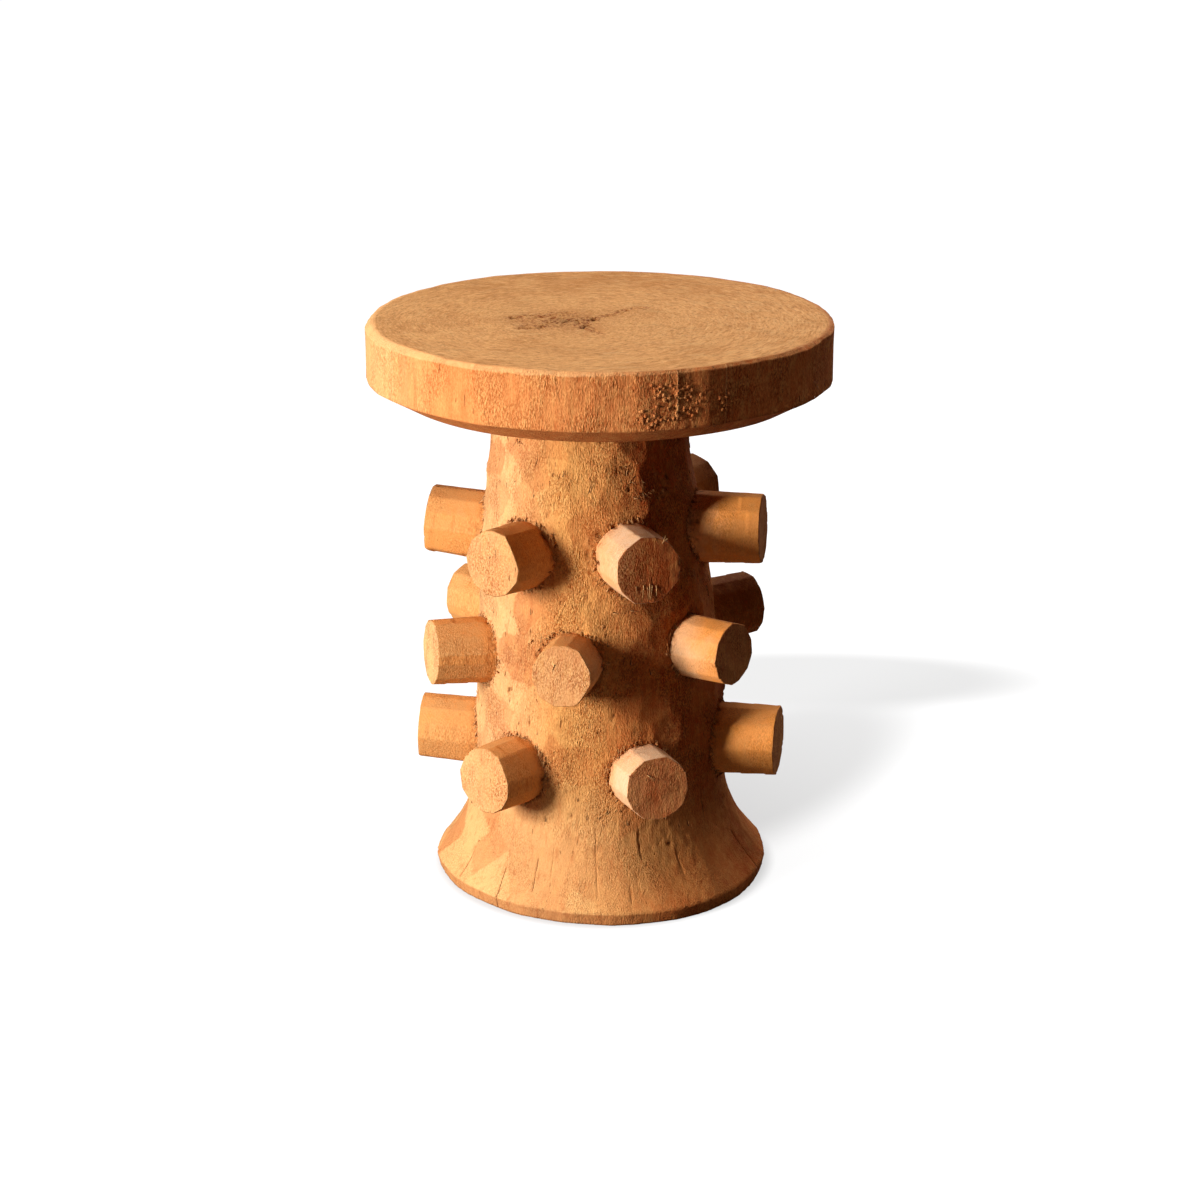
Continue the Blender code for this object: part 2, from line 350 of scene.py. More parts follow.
def finish_wood(material, here, place, wood, relief, depth):
    """Crumbles, darkens or brightens the wood where its points say so, and sets the shader. Depth is the
    relief's, in metres. The points carry crumbly for broken wood, hollow for painted shade in cracks,
    pits, tears, crevices and the slits of nicks, and fresh for torn fibres and, on the seat's rim, for
    painted highlights."""
    crumbly = here.painted("crumbly")
    crumbs = place.vector("MULTIPLY", (1.0, 1.0, 0.7)).grain(430.0, 3.0, 0.7)
    wood = here.mix(crumbly * crumbs.rise(0.50, 0.40) * 0.6, wood, WOOD_LIGHT)
    wood = here.mix(crumbly * crumbs.rise(0.49, 0.54) * 0.7, wood, WOOD_RED)
    wood = here.mix(crumbly * crumbs.rise(0.54, 0.62) * 0.9, wood, WOOD_DARK)
    wood = here.mix(here.painted("fresh") * 0.8, wood, WOOD_PALE)
    hollow = here.painted("hollow")
    # Painted shade: the hollows darken to brown and then to near black.
    wood = here.mix(hollow.rise(0.0, 0.5) * 0.6, wood, WOOD_BROWN)
    wood = here.mix(hollow.rise(0.25, 1.0), wood, WOOD_DEEP)
    relief = relief - crumbly * crumbs * 4.0
    shader = material.node_tree.nodes["Principled BSDF"]
    bump = here.add("ShaderNodeBump", None, {"Strength": 1.0, "Distance": depth, "Height": relief}, "Normal")
    links = material.node_tree.links
    links.new(wood.socket, shader.inputs["Base Color"])
    links.new((relief * 0.05 + 0.74).socket, shader.inputs["Roughness"])
    links.new(bump.socket, shader.inputs["Normal"])
    shader.inputs["Specular IOR Level"].default_value = 0.03


# Each peg as it was carved: its row, name, turn from the front and upward tilt in degrees, and how far its
# tip's height, its stand and its diameter differ from the common sizes
LOW_ROW = FLARE_HEIGHT + 0.027
TOP_ROW = seat_underside - 0.107
MIDDLE_ROW = (LOW_ROW + TOP_ROW) / 2
PEG_DIAMETER = 0.050
PEG_STAND = 0.044
PEGS = (
    (TOP_ROW, "peg_top_left", -101, 5, -0.003, 0.002, 0.003),
    (TOP_ROW, "peg_top_front_left", -37, 4, -0.002, -0.004, 0.001),
    (TOP_ROW, "peg_top_front_right", 19, 3, -0.001, -0.002, 0.002),
    (TOP_ROW, "peg_top_right", 79, 1, 0.003, 0.006, 0.004),
    (TOP_ROW, "peg_top_rear_right", 140, 2, 0.003, 0.002, 0.000),
    (TOP_ROW, "peg_top_rear_left", -160, 2, -0.002, 0.001, 0.000),
    (MIDDLE_ROW, "peg_middle_rear_left", -127, 2, 0.002, 0.000, 0.000),
    (MIDDLE_ROW, "peg_middle_left", -72, 3, -0.006, 0.000, 0.001),
    (MIDDLE_ROW, "peg_middle_front", -12, 5, 0.005, -0.006, -0.002),
    (MIDDLE_ROW, "peg_middle_front_right", 51, 3, 0.007, -0.003, -0.002),
    (MIDDLE_ROW, "peg_middle_rear_right", 118, 3, -0.001, 0.002, 0.000),
    (MIDDLE_ROW, "peg_middle_rear", 176, 2, 0.000, 0.000, 0.000),
    (LOW_ROW, "peg_low_left", -96, 4, -0.002, 0.002, 0.002),
    (LOW_ROW, "peg_low_front_left", -40, 3, -0.002, -0.005, 0.002),
    (LOW_ROW, "peg_low_front_right", 19, 5, 0.001, -0.008, 0.000),
    (LOW_ROW, "peg_low_right", 76, 2, 0.004, 0.003, 0.004),
    (LOW_ROW, "peg_low_rear_right", 142, 2, 0.001, -0.003, 0.000),
    (LOW_ROW, "peg_low_rear_left", -157, 2, -0.002, -0.003, 0.000),
)

pegs = []
for row_height, name, turn, tilt, rise, extra_stand, extra_girth in PEGS:
    wall = float(column_radius(row_height + rise))
    tip = wall + PEG_STAND + extra_stand
    foot_height = row_height + rise - tip * sin(radians(tilt))
    pegs.append({
        "name": name,
        "place": Matrix.Translation((float(column_centre(foot_height)), 0.0, foot_height))
        @ Matrix.Rotation(radians(turn), 4, "Z") @ Matrix.Rotation(radians(90 - tilt), 4, "X"),
        "wall": wall,
        "tip": tip,
        "radius": (PEG_DIAMETER + extra_girth) / 2,
    })

COLUMN_CRACKS = (
    (17, 0.034, 0.074, 0.00030, 0.0006),
    (-40, -0.010, 0.036, 0.00032, 0.0009),
    (-60, 0.006, 0.036, 0.00030, 0.0007),
    (71, 0.004, 0.044, 0.00030, 0.0012),
    (-2, 0.008, 0.078, 0.00028, 0.0005),
    (-26.5, 0.012, 0.048, 0.00030, 0.0008),
    (-20, 0.022, 0.058, 0.00028, 0.0005),
    (10, 0.012, 0.032, 0.00028, 0.0006),
    (14, 0.018, 0.038, 0.00028, 0.0006),
    (33, 0.020, 0.052, 0.00028, 0.0005),
    (53, 0.050, 0.095, 0.00030, 0.0008),
    (150, -0.010, 0.060, 0.00032, 0.0035),
    (-140, 0.005, 0.055, 0.00030, 0.0025),
)

profile = [(share * float(column_radius(0.0)), 0.0) for share in (0.0, 0.5, 0.8, 0.93)]
for row in range(COLUMN_ROWS + 1):
    row_height = (seat_underside + NECK_IN_SEAT) * row / COLUMN_ROWS
    profile.append((float(column_radius(row_height)), row_height))
profile.append((0.0, seat_underside + NECK_IN_SEAT))
column_wood, here, place, plain = wood_material("column_wood", (0.0, 0.0, 0.0))
rightward = plain.axis("X")
upward = plain.axis("Z")
on_flare = upward.rise(0.13, 0.05)
# Painted shade: the wood turns red towards the right, away from the lamp, and in a band along the undercut
# lip of the foot that fades out towards the left. Painted light: it turns pale towards the lit left, and over
# most of the flare.
lip_shade = upward.rise(0.0105, 0.0085) * rightward.rise(-0.10, -0.02) * 0.6
right_shade = here.between(on_flare, rightward.rise(-0.015, 0.04), rightward.rise(0.0, 0.09) * 0.8)
right_shade = here.math("MAXIMUM", right_shade, lip_shade)
left_light = here.between(on_flare, rightward.rise(-0.025, -0.08), rightward.rise(0.07, -0.06) * 0.7)
torn = (upward.rise(0.04, 0.12) * 0.55 + 0.45) * (rightward.rise(-0.08, 0.0) * 0.3 + 0.7)
wood, relief = upright_wood(here, place, WOOD_TAN, WOOD_RED, COLUMN_FIBRE_LENGTH, torn, right_shade, left_light)
finish_wood(column_wood, here, place, wood, relief, COLUMN_RELIEF)
column = new_piece(rolled(profile, COLUMN_STEPS), "column_carved", column_wood)
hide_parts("column")

blank = points_of(column)
angle = np.arctan2(blank[:, 1], blank[:, 0])
height = blank[:, 2]
outline = column_radius(height)
filled = np.hypot(blank[:, 0], blank[:, 1]) / outline
adze = random.Random(5)
cuts = []
for course in range(ADZE_COURSES):
    for stroke in range(ADZE_STROKES):
        cut_height = COURSE_HEIGHT * (course + 0.5) + adze.uniform(-0.011, 0.011)
        cut_angle = 2 * pi * (stroke + 0.5 * (course % 2) + adze.uniform(-0.45, 0.45)) / ADZE_STROKES
        if course < FOOT_COURSES:
            cut = (adze.uniform(-0.0003, 0.0002), 0.32, 0.35)
        else:
            cut = (adze.uniform(-0.0010, 0.0007), adze.uniform(0.055, 0.080), adze.uniform(0.06, 0.14))
        cuts.append((cut_angle, cut_height, *cut, adze.uniform(0.0, 1.0) ** 2))

# Two broad cuts on the front of the flare
cuts.append((facing(64), 0.036, 0.0020, 0.40, 0.30, 0.5))
cuts.append((facing(29), 0.044, 0.0015, 0.40, 0.30, 0.1))
depth, tint = hewn(angle, height, outline, cuts, FACET_EDGE)
skin = np.stack((outline * np.cos(angle), outline * np.sin(angle), height), axis=1)
tears = above(ripple(skin, (0.005, 0.005, 0.012), 1.0, 3), 0.72)
fuzz = ripple(skin, (0.0045, 0.0045, 0.008), 2.0, 2)
root_fuzz = np.zeros(len(skin))
crevice = np.zeros(len(skin))
for peg in pegs:
    inward = np.array(peg["place"].inverted())
    local = skin @ inward[:3, :3].T + inward[:3, 3]
    ring = np.hypot(local[:, 0], local[:, 1]) - peg["radius"]
    beside = np.where(local[:, 2] > 0, np.maximum(ring, 0.0), 1.0)
    root_fuzz += np.exp(-(beside / ROOT_REACH) ** 2)
    crevice += np.exp(-(beside / CREVICE_REACH) ** 2)
crumbs = ripple(skin, 0.0036, 3.0, 2)
crevice *= smooth_step(0.55 + 0.9 * ripple(skin, 0.007, 4.0, 2))
angle, cracked = crack_open(angle, height, outline, COLUMN_CRACKS)
waver = -FOOT_WAVER * footing(height) * np.cos(3 * angle)
bumpy = 0.00020 + 0.00025 * smooth_step((0.09 - height) / 0.03)
carved = outline + waver - HEWN_OFF - depth - TEAR_DEPTH * tears + bumpy * fuzz - cracked
carved += root_fuzz * (0.0006 + 0.0014 * crumbs) - CREVICE_DEPTH * crevice
carved *= filled
centre = column_centre(height)
carve(column, np.stack((centre + carved * np.cos(angle), carved * np.sin(angle), height), axis=1))
# Painted shade in the cracks, in the tears, in the low spots among the crumbs by the pegs and in the crevices
# round the peg roots.
tear_and_crevice_shade = 0.7 * tears + 0.12 * root_fuzz * above(-crumbs, 0.1) + 0.4 * crevice
paint(column, "hollow", 0.9 * smooth_step((cracked - 0.0001) / 0.0008) + tear_and_crevice_shade)
paint(column, "fresh", 0.4 * root_fuzz * above(crumbs, 0.1))
paint(column, "crumbly", 0.2 * root_fuzz)
# The band just above the floor takes a strong tint, painted shade under the undercut lip.
paint(column, "tint", np.where(height < FOOT_LIP - 0.0015, 0.9, tint))


# Pegs
# Eighteen short round pegs in three staggered rows, each whittled from the same wood with a chisel and left
# with flat facets along its sides and a sawn, fibrous end. A tenon on each goes into its socket.

PEG_STROKES = 21
PEG_FACET_STEPS = 10
PEG_ROUNDING = 0.22
PEG_BURIED = 0.012
PEG_TAPER = 0.0008
PEG_EDGE = 0.0005
PEG_SIDE_ROWS = 44
PEG_FACE_ROWS = 18
PEG_RELIEF = 0.0007
PEG_RIPPLE = 0.00012
FLAT_SPACING = 17
NARROWEST_FLAT = 7
STROKE_STEP = 0.0009
CHIP_BREADTH = 0.0014
CHIP_LENGTH = 0.0012
GASH_REACH = 0.006
GASH_DEPTH = 0.0012
ROOT_TEAR_AND_SHADE_REACH = 0.014
PEG_TAN = colour(0.71, 0.340, 0.115)
PEG_LIT_CREAM = colour(0.80, 0.525, 0.310)
PEG_AMBER = colour(0.88, 0.315, 0.066)
PEG_PAINTED_SHADE = colour(0.27, 0.070, 0.014)
END_TAN = colour(0.72, 0.340, 0.130)
END_RED = colour(0.40, 0.070, 0.014)

# The flats that show most: the angle round the peg in degrees, 0 to the right as seen from its end and 90 up,
# and how far the flat lies from the peg's axis as a share of its radius
PEG_FLATS = {
    "peg_top_front_left": ((29, 0.84), (-8, 0.95), (-40, 0.95)),
    "peg_top_front_right": ((-46, 0.92), (-90, 0.96), (-135, 0.97), (180, 0.94)),
    "peg_middle_front": ((29, 0.87), (0, 0.90), (-30, 0.88), (92, 0.97)),
    "peg_low_front_left": ((29, 0.87), (0, 0.91), (-28, 0.95)),
    "peg_low_front_right": ((95, 0.93), (128, 0.94)),
    "peg_middle_front_right": ((200, 0.96), (160, 0.96), (-60, 0.95)),
    "peg_top_left": ((20, 0.97), (-22, 0.96)),
    "peg_middle_left": ((24, 0.97), (-20, 0.95)),
    "peg_low_left": ((18, 0.96), (-24, 0.96)),
    "peg_top_right": ((158, 0.96), (200, 0.95)),
    "peg_low_right": ((160, 0.96), (198, 0.96)),
}

peg_wood, here, place, plain = wood_material("peg_wood", (0.31, 0.17, 0.05))
rightward = plain.axis("X")
backward = plain.axis("Y")
upward = plain.axis("Z")
# Painted light and shade by where each peg stands: the ends turn red, with dark blotches, on the pegs to the
# right, away from the lamp, and pale on the lit left. The sides are a pale cream on the pegs at the front
# right, which face the lamp, a deep amber on the pegs to the right, half shaded by the column, and dark brown
# on those at the back right, in shade.
right_shade = rightward.rise(-0.01, 0.04) * (upward.rise(0.08, 0.26) * 0.4 + 0.8)
right_shade = right_shade * (1.0 - rightward.rise(0.06, 0.10) * 0.35)
left_light = rightward.rise(-0.07, -0.14) * 0.85
lit_cream = here.mix(rightward.rise(-0.03, 0.02) * backward.rise(0.01, -0.03), PEG_TAN, PEG_LIT_CREAM)
right_peg_shade = rightward.rise(0.05, 0.10) * 1.25
shaded_amber = here.mix(rightward.rise(0.06, 0.10) * backward.rise(-0.005, 0.03), PEG_AMBER, PEG_PAINTED_SHADE)
side_wood, side_relief = upright_wood(here, place, lit_cream, shaded_amber, 3.0, 0.4, right_peg_shade, 0.0)
end_wood, end_relief = upright_wood(here, place, END_TAN, END_RED, 2.0, 1.0, right_shade, left_light)
blotches = place.grain(55.0, 2.0, 0.5).rise(0.50, 0.66)
end_wood = here.mix(blotches * right_shade * 0.45, end_wood, WOOD_DARK)
end_face = here.painted("end_face")
wood = here.mix(end_face, side_wood, end_wood)
finish_wood(peg_wood, here, place, wood, here.between(end_face, side_relief, end_relief), PEG_RELIEF)


def facet_reach(facet, from_tip):
    """How far a facet lies from the peg's axis: each chisel stroke ran deeper and left a small step."""
    along_stroke = (from_tip / facet["stroke"] + facet["start"]) % 1.0
    return facet["reach"] + PEG_TAPER * from_tip / PEG_STAND + facet["step"] * along_stroke


def facet_corner(near, far, from_tip):
    """The angle where two neighbouring facets meet."""
    turn = wrapped(far["angle"] - near["angle"])
    reach = facet_reach(near, from_tip)
    return near["angle"] + np.arctan2(facet_reach(far, from_tip) - reach * cos(turn), reach * sin(turn))


def facet_width(facets, index, from_tip):
    first = facet_corner(facets[index - 1], facets[index], from_tip)
    return wrapped(facet_corner(facets[index], facets[(index + 1) % len(facets)], from_tip) - first)


whittler = random.Random(23)
for number, peg in enumerate(pegs):
    girth = peg["radius"]
    start = peg["wall"] - PEG_BURIED
    end = peg["tip"]
    flats = list(PEG_FLATS.get(peg["name"], ()))
    for stroke in range(PEG_STROKES):
        turn = 360 * (stroke + whittler.uniform(-0.35, 0.35)) / PEG_STROKES
        if all(abs(degrees(wrapped(radians(turn - flat[0])))) > FLAT_SPACING for flat in flats):
            flats.append((turn, whittler.uniform(0.966, 0.988)))
    facets = []
    for turn, share in sorted(flats, key=lambda flat: flat[0] % 360):
        facets.append({
            "angle": radians(turn),
            "reach": girth * share,
            "stroke": whittler.uniform(0.014, 0.026),
            "start": whittler.uniform(0.0, 1.0),
            "step": STROKE_STEP * whittler.uniform(0.0, 1.0) ** 2,
            "tint": whittler.uniform(0.0, 1.0) ** 2,
        })
    along = np.linspace(0.0, end - start, 60)
    narrowest = min(facets, key=lambda facet: facet_width(facets, facets.index(facet), along).min())
    while facet_width(facets, facets.index(narrowest), along).min() < radians(NARROWEST_FLAT):
        facets.remove(narrowest)
        narrowest = min(facets, key=lambda facet: facet_width(facets, facets.index(facet), along).min())

    profile = [(0.0, start)]
    for row in range(PEG_SIDE_ROWS + 1):
        profile.append((girth, start + (end - PEG_EDGE - start) * row / PEG_SIDE_ROWS))
    for row in range(PEG_FACE_ROWS + 1):
        profile.append(((girth - PEG_EDGE) * (1 - row / PEG_FACE_ROWS), end))
    rod = rolled(profile, len(facets) * PEG_FACET_STEPS)
    piece = new_piece(rod, peg["name"] + "_carved", peg_wood)
    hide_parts(peg["name"])

    blank = points_of(piece)
    spread = np.hypot(blank[:, 0], blank[:, 1])
    from_tip = end - blank[:, 2]
    facet_share = (np.arctan2(blank[:, 1], blank[:, 0]) % (2 * pi)) / (2 * pi) * len(facets)
    angle = np.zeros(len(blank))
    side = np.zeros(len(blank))
    tint = np.zeros(len(blank))
    for index, facet in enumerate(facets):
        first = facet_corner(facets[index - 1], facet, from_tip)
        width = facet_width(facets, index, from_tip)
        offset = wrapped(first - facet["angle"]) + (facet_share - index) * width
        inside = np.floor(facet_share) == index
        angle = np.where(inside, facet["angle"] + offset, angle)
        side = np.where(inside, facet_reach(facet, from_tip) / np.cos(offset), side)
        tint = np.where(inside, facet["tint"], tint)

    side += PEG_ROUNDING * (girth + PEG_TAPER * from_tip / PEG_STAND - side)
    ring_share = np.clip(spread / girth, 0.0, 1.0)
    chips = above(ripple(blank, 0.0050, 11.0 + number, 2), 0.40)
    at_edge = np.exp(-((from_tip / 0.0020) ** 2)) * smooth_step((ring_share - 0.88) / 0.10)
    on_end = smooth_step(1.0 - from_tip / PEG_EDGE)
    slope_angle = whittler.uniform(0, 2 * pi)
    slope = whittler.uniform(0.0, 0.05)
    sawn = slope * (blank[:, 0] * cos(slope_angle) + blank[:, 1] * sin(slope_angle))
    spread = spread * side / girth - CHIP_BREADTH * chips * at_edge
    spread = spread + PEG_RIPPLE * ripple(blank, (0.006, 0.006, 0.010), 5.0 + number, 2) * ring_share
    sloped = sawn * smooth_step(1.0 - 1.6 * from_tip / (end - start))
    length = blank[:, 2] + sloped - CHIP_LENGTH * chips * at_edge
    length = length + on_end * PEG_RIPPLE * ripple(blank, (0.003, 0.010, 0.01), 3.0 + number, 2)
    at_root = smooth_step((peg["wall"] + GASH_REACH - blank[:, 2]) / GASH_REACH)
    gashes = at_root * above(ripple(blank, (0.004, 0.004, 0.009), 8.0 + number, 2), 0.25)
    spread = spread - GASH_DEPTH * gashes
    local = np.stack((spread * np.cos(angle), spread * np.sin(angle), length), axis=1)
    stance = np.array(peg["place"])
    carve(piece, local @ stance[:3, :3].T + stance[:3, 3])
    piece.data.set_sharp_from_angle(angle=radians(40))
    # Painted shade in the chips round the end and in the gashes by the root.
    paint(piece, "hollow", 0.4 * chips * at_edge + gashes)
    paint(piece, "crumbly", 0.3 * at_root)
    paint(piece, "end_face", on_end)
    # Redder towards the root: torn wood there, and painted shade where peg and column meet.
    root_tear_and_shade = smooth_step((peg["wall"] + ROOT_TEAR_AND_SHADE_REACH - blank[:, 2]) / ROOT_TEAR_AND_SHADE_REACH)
    paint(piece, "tint", np.maximum(tint * (1 - on_end), 0.6 * root_tear_and_shade))


# Torn fibres
# Thin slivers of the same wood that the blades tore up and left hanging by one end: round the pegs, loose on
# the column, in tufts, beside the nicks of the adze, and as splinters on the ends of the pegs. The slit of
# each nick is a dark sliver laid on the skin, painted shade standing in for the slit.

SLIVERS_EACH = 150
LOOSE_SLIVERS = 260
HIDDEN_NICKS = 70
NICK_THICKNESS = 0.0004
SPLINTER_THICKNESS = 0.00045
CLEAR_OF_WOOD = 0.25
bm = bmesh.new()
bm.from_mesh(column.data)
column_skin = BVHTree.FromBMesh(bm)
bm.clear()
tearing = random.Random(31)
torn_fresh = []
dark_and_slit_shade = []


def sliver(base, direction, length, thickness, fresh, dark):
    turned = direction.to_track_quat("Z", "Y").to_matrix().to_4x4()
    stance = Matrix.Translation(base + direction * (length / 2)) @ turned
    made = bmesh.ops.create_cone(bm, cap_ends=True, segments=4, radius1=thickness, radius2=0.2 * thickness,
                                 depth=length, matrix=stance)
    torn_fresh.extend([fresh] * len(made["verts"]))
    dark_and_slit_shade.extend([dark] * len(made["verts"]))


def torn_sliver(base, direction, length, thickness):
    """A sliver as pale or as dark as torn fibres are, at random."""
    fresh = tearing.uniform(0.0, 0.9)
    dark = tearing.choice((0.0, 0.0, 0.0, 0.4))
    sliver(base, direction, length, thickness, fresh, dark)


def stray(amount):
    return Vector([tearing.uniform(-amount, amount) for axis in range(3)])


def on_column(point):
    """The place on the column's skin beside a point and the way out of the wood there."""
    middle = Vector((float(column_centre(point.z)), 0.0, point.z))
    outward = (point - middle).normalized()
    return column_skin.ray_cast(middle + outward * CLEAR_OF_WOOD, -outward)[0], outward


for peg in pegs:
    for number in range(SLIVERS_EACH):
        bearing = tearing.uniform(0, 2 * pi)
        distance = peg["radius"] + tearing.uniform(0.0005, 0.0050)
        beside_peg = peg["place"] @ Vector((distance * cos(bearing), distance * sin(bearing), peg["wall"]))
        base, outward = on_column(beside_peg)
        to_peg = Vector((0.0, 0.0, -1.0 if sin(bearing) > 0 else 1.0))
        lie = (to_peg + outward * tearing.uniform(0.25, 1.00) + stray(0.45)).normalized()
        thick = tearing.choice((0.00030, 0.00040, 0.00080))
        torn_sliver(base, lie, tearing.uniform(0.0020, 0.0060), thick * tearing.uniform(0.8, 1.3))
for number in range(LOOSE_SLIVERS):
    bearing = tearing.uniform(0, 2 * pi)
    level = tearing.uniform(0.06, 0.37)
    base, outward = on_column(Vector((sin(bearing), cos(bearing), level)))
    along = Vector((0.0, 0.0, tearing.choice((-1.0, 1.0))))
    lie = (along + outward * tearing.uniform(0.08, 0.30) + stray(0.3)).normalized()
    torn_sliver(base, lie, tearing.uniform(0.0030, 0.0075), tearing.uniform(0.00026, 0.00045))

# Torn tufts: turn from the front in degrees, height, reach to each side and up, and how many slivers
TUFTS = (
    (27, 0.330, 0.004, 0.003, 16),
    (38, 0.331, 0.014, 0.001, 20),
    (24, 0.379, 0.034, 0.004, 60),
    (-8, 0.382, 0.030, 0.002, 16),
    (-52, 0.372, 0.016, 0.006, 12),
    (22, 0.346, 0.010, 0.008, 12),
    (52, 0.262, 0.008, 0.004, 14),
    (160, 0.335, 0.012, 0.004, 24),
    (-130, 0.215, 0.012, 0.003, 24),
)
for turn, level, reach, climb, count in TUFTS:
    for number in range(count):
        bearing = facing(turn) + tearing.uniform(-reach, reach) / NECK_RADIUS
        point = Vector((cos(bearing), sin(bearing), level + tearing.uniform(-climb, climb)))
        base, outward = on_column(point)
        lie = (Vector((0.0, 0.0, -0.6)) + outward * tearing.uniform(0.2, 1.0) + stray(0.7)).normalized()
        torn_sliver(base, lie, tearing.uniform(0.0030, 0.0080), tearing.uniform(0.00030, 0.00055))

# Nicks of the blade, each a dark sliver on the skin, painted shade for the slit, with a curl of wood
# beside it: turn, height, length, lean in degrees
NICKS = (
    (-1, 0.333, 0.0110, 20), (-32, 0.327, 0.0090, -15), (10, 0.309, 0.0050, 0), (8, 0.2415, 0.0110, 86),
    (17, 0.2425, 0.0080, 94),
    (-34, 0.235, 0.0060, 5), (9, 0.255, 0.0060, 30), (-41, 0.161, 0.0040, 0), (20, 0.345, 0.0080, 10),
    (-20, 0.300, 0.0060, -8), (-15, 0.345, 0.0060, 10), (2, 0.285, 0.0060, 20), (-25, 0.270, 0.0050, 0),
    (-28, 0.215, 0.0070, 4), (-18, 0.225, 0.0060, -4), (5, 0.215, 0.0050, 0), (15, 0.200, 0.0070, 12),
    (25, 0.190, 0.0060, -10), (-5, 0.150, 0.0070, 3), (-30, 0.140, 0.0060, 5), (8, 0.130, 0.0060, -6),
    (-10, 0.090, 0.0080, -12), (-6, 0.075, 0.0060, 10), (3, 0.080, 0.0080, 14), (12, 0.070, 0.0060, -8),
    (-25, 0.070, 0.0060, 6), (-45, 0.080, 0.0050, 0), (30, 0.070, 0.0070, 8), (42, 0.060, 0.0060, -5),
)
nicks = list(NICKS)
for number in range(HIDDEN_NICKS):
    nicks.append((tearing.uniform(60, 300), tearing.uniform(0.05, 0.37), tearing.uniform(0.004, 0.009),
                  tearing.uniform(-20, 20)))
for turn, level, length, lean in nicks:
    bearing = facing(turn)
    base, outward = on_column(Vector((cos(bearing), sin(bearing), level)))
    bearing += length * sin(radians(lean)) / WAIST_RADIUS
    end, outward = on_column(Vector((cos(bearing), sin(bearing), level + length * cos(radians(lean)))))
    along = (end - base).normalized()
    across = along.cross(outward)
    curl = (along + outward * 0.12).normalized()
    sliver(base - outward * 0.0001, along, length, NICK_THICKNESS, 0.0, 1.0)
    sliver(base + across * 0.0008, curl, 0.7 * length, NICK_THICKNESS, 0.6, 0.0)

# Splinters on the ends of pegs: the peg, the place on its end, to the right and up, the length and the lean
SPLINTERS = (
    ("peg_top_front_right", -0.004, -0.0105, 0.010, 186),
    ("peg_top_front_right", -0.001, -0.0120, 0.010, 177),
    ("peg_top_front_right", 0.001, -0.0100, 0.012, 183),
    ("peg_top_front_right", 0.003, -0.0115, 0.011, 190),
    ("peg_top_front_right", 0.006, -0.0120, 0.008, 180),
    ("peg_top_front_right", -0.010, -0.0110, 0.006, 175),
    ("peg_top_front_right", 0.011, 0.0200, 0.007, 25),
    ("peg_top_front_right", 0.012, 0.0215, 0.005, 60),
    ("peg_low_front_right", -0.008, 0.0115, 0.009, 130),
    ("peg_low_front_right", 0.004, -0.0150, 0.007, 184),
    ("peg_top_front_left", 0.002, 0.0110, 0.006, 170),
    ("peg_middle_front", -0.006, 0.0090, 0.007, 200),
    ("peg_middle_front_right", 0.000, -0.0140, 0.009, 185),
    ("peg_low_front_left", 0.005, 0.0060, 0.006, 172),
)
named_pegs = {peg["name"]: peg for peg in pegs}
for name, right, up, length, lean in SPLINTERS:
    peg = named_pegs[name]
    base = peg["place"] @ Vector((right, up, peg["tip"]))
    along = Vector((sin(radians(lean)), cos(radians(lean)), 0.06))
    sliver(base, (peg["place"].to_3x3() @ along).normalized(), length, SPLINTER_THICKNESS, 1.0, 0.0)
torn_fibres_and_slit_shade = new_piece(bm, "torn_fibres_and_slit_shade", column_wood)
paint(torn_fibres_and_slit_shade, "hollow", np.array(dark_and_slit_shade))
paint(torn_fibres_and_slit_shade, "fresh", np.array(torn_fresh))


# Seat
# A thick round of the same wood laid on the column's neck: an end-grain top with a crumbling pith near its
# middle, a rim of upright fibres still rough from the saw, and a hewn bevel under the rim.

SEAT_RADIUS = 0.179
SEAT_EDGE_EASE = 0.004
SEAT_BEVEL_DROP = 0.014
SEAT_BEVEL_INSET = 0.025
SEAT_WAVER = 0.0013
SEAT_STEPS = 660
SEAT_TOP_ROWS = 72
SEAT_RIM_ROWS = 32
SEAT_BEVEL_ROWS = 14
SEAT_FIBRE_LENGTH = 2.6
SEAT_RELIEF = 0.0009
RIM_STROKES = 38
RIM_MIDDLE = 0.43
RIM_FACET_EDGE = 0.00005
TOP_SWELL = 0.0004
PIT_DEPTH = 0.0020
ROUNDING_SLACK = 1e-6
TOP_TAN = colour(0.74, 0.355, 0.128)
TOP_BROWN = colour(0.56, 0.235, 0.072)
TOP_PALE = colour(0.84, 0.48, 0.20)
RIM_TAN = colour(0.67, 0.245, 0.073)
RIM_RED = colour(0.46, 0.095, 0.019)
PITH = (-0.026, -0.010)
PITH_LINES = (
    ((-0.068, -0.001), (-0.054, 0.006), (-0.042, 0.003), (-0.029, 0.013)),
    ((-0.060, -0.035), (-0.047, -0.038), (-0.039, -0.018), (-0.029, -0.001), (-0.015, -0.015)),
    ((-0.015, -0.015), (-0.002, -0.001), (0.009, 0.010), (0.017, 0.024), (0.028, 0.035), (0.040, 0.038)),
    ((-0.013, -0.015), (-0.011, -0.035), (-0.001, -0.052)),
)


